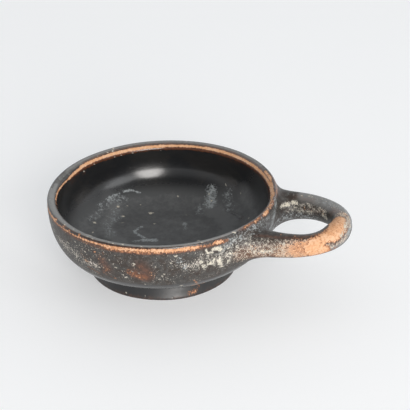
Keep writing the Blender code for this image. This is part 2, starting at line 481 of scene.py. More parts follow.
# the inner lip's bare band, brown along its lower edge
strokes("bare", lipPlace, [
    (0.75, 0.8, [(24, 58.2, 43.95), (45, 57.9, 43.65), (85, 57.95, 43.7)], 1.5),
    (0.66, 0.8, [(84, 57.95, 43.7), (92, 57.9, 43.65), (110, 57.8, 43.45)], 1.4),
    (0.8, 0.8, [(109, 57.75, 43.35), (135, 57.7, 43.25), (163, 57.7, 43.4)], 1.5),
    (0.72, 0.5, [(163, 57.5, 43.1), (170, 57.3, 42.6), (176, 57.1, 42.2)], 1.4),
    (0.42, 0.8, [(175, 57.1, 42.2), (186, 57.3, 42.6), (192, 57.5, 43), (204, 57.6, 43.4)], 1.4),
    (0.4, 0.8, [(204, 57.6, 43.4), (214, 57.7, 43.5)], 0.6)
])
strokes("rust", lipPlace, [
    (0.9, 1, [(0, 57.2, 42.3), (90, 57.2, 42.2), (175, 57.1, 41.7)], 0.86),
    (0.5, 1, [(25, 59.3, 44.8), (90, 59.1, 44.7), (160, 58.9, 44.5)], 0.9),
    (0.4, 0.8, [(175, 57, 41.4), (174.5, 56.8, 40)]),
    (1.6, 4, [(5, 56.9, 40.4), (75, 56.9, 40.4)], 0.34),
    (2.4, 6, [(160, 56.6, 40), (185, 56.2, 38), (215, 56.2, 38)], 0.34)
])
mark("crust", 0.5, 0.5, lipPlace, [(139, 58.8, 44.4), (138, 60.9, 45.4)])
chips("crust", 0.3, lipPlace, [
    (139.4, 57, 41.4), (138.4, 57, 40.9), (135, 57, 41.3), (111, 57, 41.2), (162, 56.8, 40.2),
    (128, 57, 41.4), (153, 57, 41.5)
], 0.2, 0.66)
chips("crust", 0.3, lipPlace, [
    (197, 58.2, 44), (149, 59, 44.5), (142.5, 59, 44.5), (70.5, 59.6, 44.9), (49, 58.9, 44.4),
    (174, 58.2, 44)
], 0.3, 0.8)

# the lip's top: worn grey all round, with a painted sheen on its left, front and far side and a painted
# highlight along the near crest, and bare beside the handle
lipRing = [(azimuth, 59.6, 45) for azimuth in range(-180, 181, 15)]
strokes("worn", lipPlace, [
    (1.6, 1.2, lipRing, 1.5),
    # painted sheen on the lip top, on the left and front, then on the far side
    (1.4, 1.6, [(azimuth, 59.4, 44.9) for azimuth in range(-172, -78, 8)], 2.2),
    (1.2, 1.4, [(azimuth, 60.2, 45.2) for azimuth in range(44, 176, 8)], 2.1),
    # a painted highlight along the near outer crest
    (1, 0.7, [(azimuth, 60.9, 45.4) for azimuth in range(-165, -20, 9)], 2.6)
])
strokes("bare", lipPlace, [
    (0.75, 0.5, [(38, 59.6, 44.85), (31, 59.7, 44.9), (26, 59.5, 44.8)], 0.95),
    (0.5, 0.6, [(33, 60.2, 45.2), (29, 60.2, 45.2)]),
    (1.3, 0.6, [(24, 58.9, 44.4), (16, 58.9, 44.4), (8, 59.2, 44.6)]),
    (0.8, 0.8, [(13, 60.1, 45.15), (9, 60.2, 45.2)], 0.95),
    (0.9, 0.7, [(8, 59.4, 44.7), (0, 59.9, 45), (-5, 60.2, 45.2)], 0.95)
])
clear(["bare"], 0.16, 0.3, lipPlace, [(39, 58.75, 44.3), (27, 58.75, 44.3)])
strokes("bare", lipPlace, [
    (0.35, 0.5, [(-2, 58.6, 44.2), (-14, 58.2, 44), (-30, 58.1, 43.95)], 0.66),
    (0.9, 2, [(3, 61.4, 45.2), (-3, 61.9, 45)], 0.74),
    (1.3, 1.6, [(-6.5, 61.8, 44.9), (-10, 61.9, 44.8)], 0.88),
    (0.8, 1.8, [(-15, 61.4, 45.2), (-19, 61.8, 44.9)], 0.74),
    (0.6, 1.8, [(-21, 61.2, 45.3), (-27, 61.6, 45.2)], 0.7),
    (0.5, 1.6, [(24, 61.8, 44.8), (12, 62, 44.7)], 0.5)
])
strokes("rust", lipPlace, [
    (1.8, 3, [(32, 61.6, 44.8), (10, 62, 44.6)], 0.9),
    (1.6, 2.5, [(18, 61.2, 45), (-30, 61.5, 45)], 0.7)
])
chips("crust", 0.3, lipPlace, [
    (-5, 61, 45.4), (-10, 60.8, 45.4), (-18, 60.6, 45.4), (-23, 61, 45.3), (1, 61.8, 45.1),
    (-14, 59.6, 44.9), (-28, 60.8, 45.4)
], 0.4)

# the outer shoulder's bare band: a ragged upper edge, a soft darker lower one, broken to the left
strokes("bare", wallPlace, [
    (0.9, 0.6, [(-53.2, 43), (-57, 43.4), (-64, 43.1), (-70, 43.4), (-76, 43.7)], 0.86),
    (0.9, 0.6, [(-76, 43.5), (-90, 43.4), (-99, 43.3)], 0.81),
    (0.8, 1.8, [(-55, 42.5), (-75, 42.4), (-98, 42.3)], 0.66),
    (0.6, 0.8, [(-99, 43.4), (-113, 43.3)], 0.9),
    (0.5, 1, [(-112, 43.3), (-136, 43)], 0.8),
    (0.45, 0.6, [(-113.4, 45), (-113.8, 43.2), (-118, 43)]),
    (0.5, 0.8, [(-120.4, 44.4), (-121.6, 43.2)], 0.85),
    (0.5, 0.8, [(-124.6, 45), (-126.6, 43.4)], 0.85),
    (0.8, 0.9, [(-133.6, 44.6), (-136, 42.8)], 0.95),
    (0.8, 1.2, [(-136, 43.6), (-146, 43.2)], 0.85),
    (0.8, 1.4, [(-146, 43.2), (-172, 42.9)], 0.85),
    (1.1, 1, [(-44.4, 43.1), (-41, 43)], 0.86),
    (0.8, 2, [(-53, 43.4), (-47, 42.8), (-38, 42.6)], 0.45)
])
strokes("rust", wallPlace, [
    (0.9, 1.5, [(-38, 42.6), (-53, 41.8), (-98, 41.6), (-125, 42.2), (-160, 42)], 0.75),
    (0.3, 0.7, [(-40, 44.8), (-98, 44.8), (-135, 44.8)], 0.9)
])
strokes("crust", lipPlace, [
    (0.45, 0.6, [(-111.4, 58.3, 44.1), (-108.6, 58.6, 44.2)]),
    (0.4, 0.5, [(-109.4, 59, 44.5), (-106.6, 60.2, 45.2)], 0.9),
    (0.35, 0.5, [(-90, 58.2, 44), (-87.6, 58.3, 44.1)], 0.9),
    (0.35, 0.5, [(-82.6, 58.3, 44.1), (-81.6, 59.2, 44.6)], 0.9)
])
chips("crust", 0.3, lipPlace, [
    (-126, 61.5, 45.3), (-118.5, 60.9, 45.4), (-108.6, 61.6, 45.2), (-105.4, 61.8, 45.1),
    (-96.6, 61.2, 45.3), (-94, 61.6, 45.2), (-88.5, 61, 45.4), (-80.2, 61.6, 45.2), (-66.5, 60.9, 45.4),
    (-57, 61, 45.4), (-51.4, 61.6, 45.2)
], 0.3)
chips("crust", 0.4, lipPlace, [(-33.4, 61.4, 45.2), (-32.8, 61.9, 44.8)], 0.3)

# the handle: rubbed bare over its near side and tip, peppered where the gloss is going
strokes("bare", handlePlace, [
    (6.2, 3, [(-0.44, 0), (-0.36, 10), (-0.26, 25)]),
    (5, 8, [(-0.6, -4), (-0.46, 0)], 0.66),
    (5.6, 1.6, [(-0.26, 25), (-0.17, 55), (-0.07, 82)]),
    (3.6, 1.4, [(-0.12, 95), (-0.03, 120)])
])
strokes("pepper", handlePlace, [
    (6.4, 5, [(-0.58, -6), (-0.46, 0)], 0.85),
    (6, 5, [(-0.72, -8), (-0.6, 0)], 0.68),
    (5.5, 6, [(-0.92, -10), (-0.74, 0)], 0.54)
])
strokes("crust", handlePlace, [
    (5, 5, [(-0.95, 8), (-0.76, 8)], 0.44),
    (4, 6, [(-0.8, 5), (-0.72, 0)], 0.3),
    (1, 1.6, [(-0.92, 28), (-0.84, 30)], 0.8),
    (0.9, 1.6, [(-0.83, -8), (-0.76, -5)], 0.8),
    (0.8, 1.5, [(-0.72, 38), (-0.69, 30)], 0.7),
    (1.4, 2, [(-0.16, 22), (-0.05, 45), (0.06, 60)], 0.55)
])
clear(["bare"], 1.1, 1.6, handlePlace, [(-0.34, 10), (-0.28, 2)], 0.8)
clear(["bare"], 2.2, 2.2, handlePlace, [(-0.28, -12), (-0.2, -6), (-0.1, 4)], 0.85)
mark("pepper", 2.2, 3, handlePlace, [(-0.34, 8), (-0.26, -8), (-0.1, 4)], 0.5)
clear(["bare"], 1.2, 1.5, handlePlace, [(-0.05, 30), (0, 50)], 0.5)
mark("pepper", 2.4, 3, handlePlace, [(0, 40), (0.1, 70), (0.08, 110)], 0.55)
strokes("hazeAndSheen", handlePlace, [
    (2.4, 3, [(-0.3, -14), (-0.18, -2), (-0.06, 12), (0.08, 30)], 0.5),
    (2.6, 3, [(0.1, 50), (0.3, 60)], 0.36)
])
strokes("rust", handlePlace, [
    (0.9, 2.4, [(-0.9, 60), (-0.7, 60), (-0.5, 72)], 0.7),
    (2.2, 4, [(-0.88, -30), (-0.66, -32)], 0.8),
    (3, 4, [(0.06, 60), (0.16, 100), (0.25, 130)], 0.6)
])
clear(["pepper", "crust"], 3.4, 1.4, handlePlace, [(-0.99, 92), (-0.5, 94), (-0.36, 108)])
chips("bare", 0.45, handlePlace, [(-0.16, 96), (-0.42, 92), (-0.6, 80), (-0.72, 84)], 0.3)

# the far strand: worn grey on top, lightened by a painted sheen, with lime along its inner side and in the
# bend
strokes("worn", handlePlace, [
    (5, 6, [(0.72, 98), (0.4, 104), (0.15, 84)], 2.1),
    (3, 4, [(0.12, 58), (0.05, 36), (-0.08, 4), (-0.2, -20), (-0.3, -32)], 2.1)
])
mark("hazeAndSheen", 4, 6, handlePlace, [(0.5, 104), (0.2, 90)], 0.26)
clear(["worn"], 3, 4, handlePlace, [(0.97, 100), (0.84, 100)], 0.8)
strokes("rust", handlePlace, [
    (2, 5, [(0.8, 122), (0.62, 124)], 0.5),
    (2, 4, [(0.68, 175), (0.4, 160)], 0.45)
])
mark("worn", 3, 5, handlePlace, [(-0.95, 110), (-0.6, 110), (-0.35, 120)], 1.3)
strokes("crust", handlePlace, [
    (1.3, 1.2, [(0.91, 157), (0.85, 156)]),
    (1.2, 1.2, [(0.81, 152), (0.77, 150)], 0.95),
    (0.7, 1.2, [(0.74, 160), (0.69, 156)], 0.8),
    (0.6, 1.2, [(0.66, 146), (0.61, 152)], 0.75),
    (2.2, 2.5, [(0.86, 180), (0.6, 180)], 0.34),
    (2, 2.5, [(0.6, 155), (0.4, 160)], 0.42),
    (1.2, 1.2, [(0.42, 172), (0.34, 184)], 0.8)
])
# a pale painted reflection along the far root's underside where it meets the wall, and a faint one on its
# top
strokes("hazeAndSheen", handlePlace, [
    (3, 6, [(0.95, 205), (0.75, 215), (0.55, 225)], 0.5),
    (3, 6, [(0.95, 110), (0.8, 112)], 0.2)
])
# a painted reflection on the wall in the hollow between the two roots
mark("hazeAndSheen", 4, 6, wallPlace, [(6, 42), (0, 34), (-5, 26)], 0.6)
chips("crust", 0.4, handlePlace, [
    (0.66, 100), (0.64, 106), (0.52, 98), (0.46, 104), (0.34, 96), (0.28, 84), (0.24, 100), (0.18, 78),
    (0.15, 92), (0.56, 84), (0.74, 112)
], 0.2)

# lime crust and streaks on the wall below the near root
strokes("crust", wallPlace, [
    (1.3, 0.8, [(-45.2, 39.9), (-43, 39.6), (-41.8, 38.4)]),
    (0.6, 0.8, [(-49.2, 40.6), (-48.6, 38.6), (-45.6, 38.2)], 0.95),
    (0.4, 0.6, [(-47.9, 37), (-47.2, 32)]),
    (0.4, 0.6, [(-46.2, 36.4), (-46.6, 32.6)]),
    (0.4, 0.6, [(-44.4, 36), (-45.6, 31.6)], 0.95),
    (0.7, 0.7, [(-48, 31.4), (-45.4, 31)]),
    (1.1, 1, [(-51.8, 34), (-51, 31.6), (-50, 29.4)]),
    (0.7, 1.2, [(-53.6, 32.6), (-52.6, 30.4)], 0.85),
    (1, 1, [(-42.4, 31.8), (-41.4, 28.8), (-40.2, 26.8)], 0.97),
    (0.7, 0.9, [(-37.6, 30.6), (-36, 27.4)], 0.9),
    (0.6, 0.9, [(-34.6, 30), (-34, 27.6)], 0.85),
    (5, 8, [(-50, 33), (-40, 31), (-32, 33)], 0.4),
    (5, 6, [(-36, 36), (-28, 37)], 0.38),
    (0.5, 0.6, [(-64.6, 39.8), (-63.2, 39.7)])
])

# bluish haze over the root and beside the lime, and a painted sheen on the wall inside the near root
strokes("hazeAndSheen", wallPlace, [
    (3.2, 6, [(-40.5, 37.6), (-36, 40), (-30, 41)], 0.55),
    (2, 4, [(-62, 37), (-59, 32)], 0.45),
    # painted sheen on the wall inside the near root
    (5, 6, [(-22, 42), (-8, 40)], 0.36)
])

# thin red gloss and rubbed orange spots on the front of the wall
strokes("rust", wallPlace, [
    (3, 8, [(-80.5, 34), (-77.5, 30)], 0.85),
    (3, 6, [(-84, 28.5), (-78, 26.5)], 1),
    (3, 8, [(-100.5, 33.5), (-98.5, 29)], 0.75),
    (2, 6, [(-113, 34), (-108, 28)], 0.4)
])
strokes("bare", wallPlace, [
    (1.6, 4, [(-87, 29.4), (-79.5, 25.6)], 0.4),
    (1.2, 4, [(-98, 29), (-101, 25)], 0.32),
    (0.3, 0.7, [(-112, 26), (-108, 25), (-104, 23.4)], 0.7),
    (0.3, 0.7, [(-99, 23.8), (-95, 22.4)], 0.7),
    (0.35, 0.6, [(-104.5, 37.8), (-102.6, 38.2)]),
    (0.3, 0.6, [(-99.6, 38.6), (-98.8, 38.2)], 0.9),
    (0.28, 0.5, [(-54.6, 21.8), (-53.4, 19.4), (-51.4, 16.6)], 0.95),
    (0.4, 0.7, [(-55, 15.4), (-52, 15.2), (-47, 15.4)])
])
chips("crust", 0.5, wallPlace, [
    (-84.2, 35.4), (-84, 33.6), (-73.2, 33.8), (-70.4, 27.2), (-81.4, 29.2), (-116.8, 39.6), (-88.6, 24.8)
])
chips("crust", 0.4, wallPlace, [
    (-84.6, 30), (-69.6, 28.6), (-61.5, 17.5), (-60.6, 17.3), (-80.2, 20), (-110, 35.6), (-107, 31.8),
    (-89.6, 26.6), (-73, 24.6), (-66, 36), (-68.4, 24), (-93, 31), (-104, 29), (-112, 30.5), (-96.6, 35.4),
    (-123, 36), (-121, 33.4)
])

# the foot: red-brown low down, a mottled rubbed spot, and a bare edge where it stands
mark("rust", 1.4, 2.4, wallPlace, [(azimuth, 0.8) for azimuth in range(-180, 181, 10)], 0.66)
strokes("bare", wallPlace, [
    (0.4, 0.5, [(azimuth, 0.1) for azimuth in range(-180, 181, 10)], 0.95),
    (1.4, 2, [(-50, 2.2), (-45.5, 2.8)], 0.52),
    (0.8, 2, [(-45, 3.4), (-42, 5)], 0.38)
])
chips("crust", 0.45, wallPlace, [(-84, 1.6), (-63, 1.2), (-99, 2), (-57, 6.5)])

# inside: scratches, bluish haze and specks on the floor, and a bluish streak on the far left of the wall
# that is partly dust and partly painted reflection
strokes("hazeAndSheen", insidePlace, [
    # the streak on the far left of the wall: partly dust, partly a painted reflection
    (0.6, 0.8, [(-37.5, 33.5), (-35, 36.4), (-32, 37.8), (-29.2, 38.2)], 0.9),
    (0.9, 1.4, [(-39.5, 31), (-42, 27), (-43.5, 23.5)], 0.7),
    (2.6, 6, [(-36, 31), (-41, 26), (-45, 17)], 0.42),
    (2.6, 7, [(-34, 15), (-37, 6), (-31, -3)], 0.46),
    (3, 6, [(-44, 12), (-46, 4)], 0.3),
    (6, 12, [(-38, 30), (-36, 8)], 0.24),
    (1, 1.2, [(-18.2, 10.5), (-20.2, 5.6), (-19.2, 4), (-13.5, 0.6), (-10, -1)], 0.88),
    (0.6, 0.8, [(-20.6, 5.4), (-19, 4.4)]),
    (1.8, 1.6, [(-12, -2.4), (-5.5, -0.6)], 0.9),
    (1, 1.2, [(-16, -5.5), (-12.6, -3)], 0.75),
    (3.2, 4, [(11, 49), (12, 45), (13, 41.5)], 0.76),
    (1.6, 3, [(11, 42), (6.4, 38.4), (9.6, 34.4)], 0.5),
    (1.2, 2.4, [(7, 39), (7.2, 33)], 0.5),
    (3.5, 5, [(22, 46), (25, 38)], 0.38),
    (1.3, 2, [(4.6, 20.6), (6.4, 15.6)], 0.62),
    (0.45, 0.8, [(-28, 50), (-22, 53)], 0.55)
])
mark("crust", 0.4, 0.7, insidePlace, [(-11, -2), (-6.5, -0.8)], 0.5)
mark("rust", 0.9, 1, insidePlace, [(-37, 23.6)])
chips("crust", 1.1, insidePlace, [(-18, 26.4)], 0.3, 1.6)
chips("crust", 0.8, insidePlace, [(-37, 23.6), (-43.4, 2.8), (-32, 18.4)], 0.3, 1.5)
chips("crust", 0.8, insidePlace, [(18.2, 5)], 0.3)
chips("crust", 0.6, insidePlace, [
    (-17, 26.9), (-32.6, 27.6), (-30, 11.6), (40.4, 26.2), (-26, 31), (2, 30), (-8, 44), (20, 50), (30, 44),
    (-40, -6), (-12, 16), (10, 47), (13, 44)
], 0.2)

# the sides that are turned away: the same bands, fainter and more broken, and a few knocks
strokes("bare", wallPlace, [
    (0.5, 1.2, [(-172, 42.9), (-215, 43.2), (-262, 43.4)], 0.64),
    (0.4, 1.2, [(100, 43.4), (45, 43.4), (30, 43)], 0.52)
])
farSide = {
    "seed": 31,
    "wallKnocks": 26,
    "wallAzimuths": (20, 215),
    "wallHeights": (14, 42),
    "wallSizes": (0.2, 0.7),
    "limeShare": 0.6,  # how many of them are filled with lime
    "footKnocks": 8,
    "footAzimuths": (10, 230),
    "footHeights": (0.8, 8),
    "footSizes": (0.4, 0.8),
    "footDepth": 0.8,
    "redStreaks": ([(75, 30), (78, 23)], [(128, 34), (131, 29)], [(160, 27), (163, 21)]),
}
draw = random.Random(farSide["seed"])
for _ in range(farSide["wallKnocks"]):
    spot = (draw.uniform(*farSide["wallAzimuths"]), draw.uniform(*farSide["wallHeights"]))
    layer = "crust" if draw.random() < farSide["limeShare"] else "bare"
    chips(layer, draw.uniform(*farSide["wallSizes"]), wallPlace, [spot])
for _ in range(farSide["footKnocks"]):
    size = draw.uniform(*farSide["footSizes"])
    spot = (draw.uniform(*farSide["footAzimuths"]), draw.uniform(*farSide["footHeights"]))
    chips("bare", size, wallPlace, [spot], farSide["footDepth"])
for stops in farSide["redStreaks"]:
    mark("rust", 2.6, 4, wallPlace, stops, 0.8)
mark("crust", 2.4, 4, wallPlace, [(58, 33), (50, 28)], 0.42)
mark("pepper", 2, 3, handlePlace, [(0.5, 0), (0.2, -30)], 0.5)
mark("film", 18, 10, undersidePlace, [(0, 0), (6, 4)], 0.6)

# the dull grey film that lies on the floor inside and runs a little way up the wall
floorFilm = {
    "reach": 52.5,  # its radius, which draws back on one side
    "drawBack": 3.5,
    "drawBackAt": 105,
    "tongue": 5,  # one place where it climbs higher
    "tongueAt": 38,
    "tongueSpread": 24,
    "softness": 9,
    "scratch": [(24.5, 36.4), (30, 33), (35.2, 28.9)],
}
drawBack = floorFilm["drawBack"] * np.cos(azimuths - math.radians(floorFilm["drawBackAt"]))
fromTongue = (np.degrees(azimuths) - floorFilm["tongueAt"]) / floorFilm["tongueSpread"]
filmReach = floorFilm["reach"] - drawBack + floorFilm["tongue"] * np.exp(-fromTongue ** 2)
filmShare = np.clip((filmReach - radii) / floorFilm["softness"] + 0.5, 0, 1)
wear["film"] = np.where(inside, filmShare, wear["film"])
strokes("film", insidePlace, [
    (4, 15, [(33, 41), (39, 34)], 1.8),
    (8, 12, [(-38, 22), (-36, 0), (-22, -8)], 1.4),
    (8, 12, [(14, 38), (28, 28), (32, 10)], 1.5)
])
clear(["film"], 0.6, 0.6, insidePlace, floorFilm["scratch"])
clear(["film"], 1, 1, insidePlace, [(33.6, 30.2), (36, 28.2)])
mark("nick", 0.4, 0.8, insidePlace, floorFilm["scratch"], 0.6)

# how worn the gloss is, and how thickly it is flecked
wallWear = {
    "front": -75,  # azimuth of the side that is flecked most
    "frontReach": 100,
    "frontFade": 40,
    "low": 18,  # the height it sets in at, and the one it lessens at
    "lowFade": 3,
    "high": 45.2,
    "highFade": 2,
    "leastHigh": 0.35,
    "worn": 0.7,
    "wornElsewhere": 0.08,
    "flecks": 0.38,
    "flecksInFront": 0.2,
    "flecksOnHandle": 0.34,
    "flecksInside": 0.1,
    "flecksOffClay": 0.9,
}
fromFront = np.abs((azimuths - math.radians(wallWear["front"]) + math.pi) % math.tau - math.pi)
frontShare = np.clip((wallWear["frontReach"] - np.degrees(fromFront)) / wallWear["frontFade"], 0, 1)
wallShare = np.clip((heights - wallWear["low"]) / wallWear["lowFade"], 0, 1) * ~inside
wallShare *= np.clip((wallWear["high"] - heights) / wallWear["highFade"], wallWear["leastHigh"], 1)
wornShare = wallWear["worn"] * np.maximum(wallShare, onHandle) + wallWear["wornElsewhere"] * ~inside
wear["worn"] = np.maximum(wear["worn"], wornShare)
wear["satin"][below] = 1
flecks = wallShare * (wallWear["flecks"] + wallWear["flecksInFront"] * frontShare) * (1 - onHandle)
flecks += wallWear["flecksOnHandle"] * onHandle
wear["fleck"] = np.where(inside, wallWear["flecksInside"], flecks)
strokes("fleck", wallPlace, [
    (5, 9, [(-136, 35), (-122, 31), (-96, 28)], 0.92),
    (3, 8, [(-90, 29), (-74, 29)], 0.84),
    (5, 9, [(-60, 33), (-30, 33)], 0.92)
])
strokes("fleck", handlePlace, [
    (5, 6, [(-0.9, 0), (-0.6, 0)], 0.72),
    (3.5, 6, [(0.75, 165), (0.42, 160)], 0.72),
    (3, 5, [(-0.1, 20), (0.12, 60)], 0.7),
    (5, 6, [(0.72, 98), (0.4, 104), (0.15, 84)], 0.62)
])
mark("fleck", 0.6, 1, lipPlace, [(azimuth, 60.8, 45.3) for azimuth in range(-180, 1, 30)], 0.6)
strokes("fleck", insidePlace, [
    (3, 5, [(-40, 28), (-38, 8)], 0.4),
    (3, 4, [(11, 47), (13, 42)], 0.45)
])
clear(["fleck"], 3.4, 1.6, handlePlace, [(-0.99, 92), (-0.5, 94), (-0.36, 108)], 0.8)
mark("fleck", 1.6, 1.6, lipPlace, lipRing, 0.42)
wear["fleck"] *= 1 - np.clip(wear["bare"], 0, 1) * wallWear["flecksOffClay"]
print("wear laid out")


def noiseField(size, seed=0.0):
    # soft unevenness, from -1 to 1, with humps about this size in millimetres
    shift = Vector((seed, seed * 1.7, -seed))
    return np.array([noise.noise(Vector(point) / size + shift) for point in points])


def wheelMarks(size):
    # fine ridges that run round the bowl, as the wheel left them
    along = np.stack([radii / size, heights / size, azimuths * relief["ridgeChange"]], axis=1)
    return np.array([noise.noise(Vector(place)) for place in along])


relief = {
    "broadSize": 26,
    "fineSize": 2.2,
    "fineSeed": 3.0,
    "ridgeSize": 2.6,
    "ridgeDepth": 0.045,
    "ridgeChange": 0.6,  # how fast a ridge changes on its way round
    "handleUnevenness": 0.30,
    "bowlUnevenness": 0.11,
    "edgeAt": 0.3,  # wear above this shows in the shape, with a ragged edge
    "bareDepth": 0.24,
    "bareRagged": 0.4,
    "bareMost": 0.5,
    "crustHeight": 0.20,
    "crustRagged": 0.6,
    "crustMost": 0.6,
    "nickDepth": 0.45,
    "nickRagged": 0.5,
    "pitDepth": 0.07,
    "pitsAbove": 0.1,
    "lipPull": 0.9,  # how far the mouth opens out beside the handle
    "lipPullSpread": 20,  # degrees
    "lipPullHeights": (34, 42),  # where it sets in
    "lipPullRadii": (61.5, 59),  # and where it is in full, from the outside in
}


def between(values, start, end):
    return np.clip((values - start) / (end - start), 0, 1)


normals = np.empty(count * 3)
joined.vertices.foreach_get("normal", normals)
normals = normals.reshape(-1, 3)
broad, fine = noiseField(relief["broadSize"]), noiseField(relief["fineSize"], relief["fineSeed"])
lift = broad * (relief["bowlUnevenness"] + onHandle * relief["handleUnevenness"])
lift += relief["ridgeDepth"] * wheelMarks(relief["ridgeSize"]) * (1 - onHandle)
for layer, height in (("bare", -relief["bareDepth"]), ("crust", relief["crustHeight"])):
    shown = wear[layer] + fine * relief[layer + "Ragged"] - relief["edgeAt"]
    lift += height * np.clip(shown, 0, relief[layer + "Most"])
lift -= relief["nickDepth"] * wear["nick"] * (1 + fine * relief["nickRagged"])
lift -= relief["pitDepth"] * np.minimum(wear["worn"], 1) * np.clip(fine - relief["pitsAbove"], 0, 1)
pull = relief["lipPull"] * np.exp(-(np.degrees(azimuths) / relief["lipPullSpread"]) ** 2)
pull *= between(heights, *relief["lipPullHeights"]) * between(radii, *relief["lipPullRadii"])
points[:, :2] += points[:, :2] / np.maximum(radii, 1)[:, None] * pull[:, None]
points += normals * lift[:, None]
points[:, 2] = np.maximum(points[:, 2], 0)

stance = {
    "lean": 1.25,  # degrees; the handle's side is high
    "footSetBack": 1.5,
}
tilt = Matrix.Rotation(-math.radians(stance["lean"]), 3, "Y")
leaned = points @ np.array(tilt).T
stood = points - np.array((stance["footSetBack"], 0, 0))
leanShare = np.clip(points[:, 2] / bowl["wallFoot"][1], 0, 1)
leanShare = (leanShare * leanShare * (3 - 2 * leanShare))[:, None]
points = (stood + (leaned - stood) * leanShare) * mm
cadLow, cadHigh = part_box("dish")
points[:, 0] += (cadLow.x + cadHigh.x - points[:, 0].min() - points[:, 0].max()) / 2
joined.vertices.foreach_set("co", points.ravel())
for name, values in wear.items():
    if name != "nick":
        joined.attributes.new(name, "FLOAT", "POINT").data.foreach_set("value", values)
joined.shade_smooth()
joined.update()
print("relief and stance set")

finish = {
    "gloss": (0.0095, 0.01, 0.011),
    "glossBrown": (0.015, 0.0143, 0.0137),
    "wornBrown": (0.025, 0.015, 0.0095),
    "wornGrey": (0.028, 0.0262, 0.0235),
    "wornPale": (0.056, 0.051, 0.045),
    "greyWearAndSheen": (0.2, 0.198, 0.192),
    "film": (0.076, 0.078, 0.079),
    "filmLight": (0.135, 0.138, 0.138),
    "rust": (0.115, 0.037, 0.014),
    "pepperPale": (0.52, 0.44, 0.35),
    "hazeAndSheen": (0.39, 0.42, 0.425),
    "edge": (0.17, 0.062, 0.023),
    "clayDark": (0.4, 0.165, 0.07),
    "clay": (0.615, 0.322, 0.162),
    "clayPale": (0.67, 0.415, 0.255),
    "crust": (0.59, 0.545, 0.445),
    "crustGrey": (0.33, 0.31, 0.275),
    "fleck": (0.72, 0.66, 0.58),
    "fleckOrange": (0.62, 0.33, 0.17),
    "glossRoughness": 0.21,
    "satinRoughness": 0.38,
    "filmRoughness": 0.62,
    "wornRoughness": 0.5,
    "clayRoughness": 0.85,
    "ior": 1.6,
    "bumpDepth": 0.16,
    "bumpStrength": 0.7,
}


def plug(socket, value):
    # another node's output is linked, and a plain value is set
    if isinstance(value, bpy.types.NodeSocket):
        socket.id_data.links.new(value, socket)
    elif socket.type == "RGBA":
        socket.default_value = (*value, 1)
    else:
        socket.default_value = value


def add(tree, kind, **sockets):
    made = tree.nodes.new("ShaderNode" + kind)
    for name, value in sockets.items():
        plug(made.inputs[name], value)
    return made


def fade(value, low, high):
    # rises softly from 0 to 1 between the two
    made = add(value.id_data, "MapRange", Value=value)
    made.interpolation_type = "SMOOTHSTEP"
    plug(made.inputs["From Min"], low)
    plug(made.inputs["From Max"], high)
    return made.outputs["Result"]


def blend(share, first, second, kind="RGBA", indices=(6, 7), result=2):
    made = add(share.id_data, "Mix")
    made.data_type = kind
    for index, value in zip((0, *indices), (share, first, second)):
        plug(made.inputs[index], value)
    return made.outputs[result]


def blendNumbers(share, first, second):
    return blend(share, first, second, "FLOAT", (2, 3), 0)


def maths(operation, *values):
    made = add(values[0].id_data, "Math")
    made.operation = operation
    for socket, value in zip(made.inputs, values):
        plug(socket, value)
    return made.outputs[0]


def total(first, *others):
    for value in others:
        first = maths("ADD", first, value)
    return first


def times(first, second):
    return maths("MULTIPLY", first, second)


def most(first, second):
    return maths("MAXIMUM", first, second)


def centred(value, amount):
    return maths("MULTIPLY_ADD", value, amount, -amount / 2)


def uneven(layer, unevenness):
    # a layer with a ragged edge, and nothing where the layer is missing
    return total(layer, times(unevenness, fade(layer, 0.0, 0.3)))


def specks(noiseValue, density, edge=0.03):
    # one noise's humps; none at density 0, about a third of the surface at 1
    least = maths("MULTIPLY_ADD", density, -0.36, 0.87)
    return fade(noiseValue, least, total(least, edge))


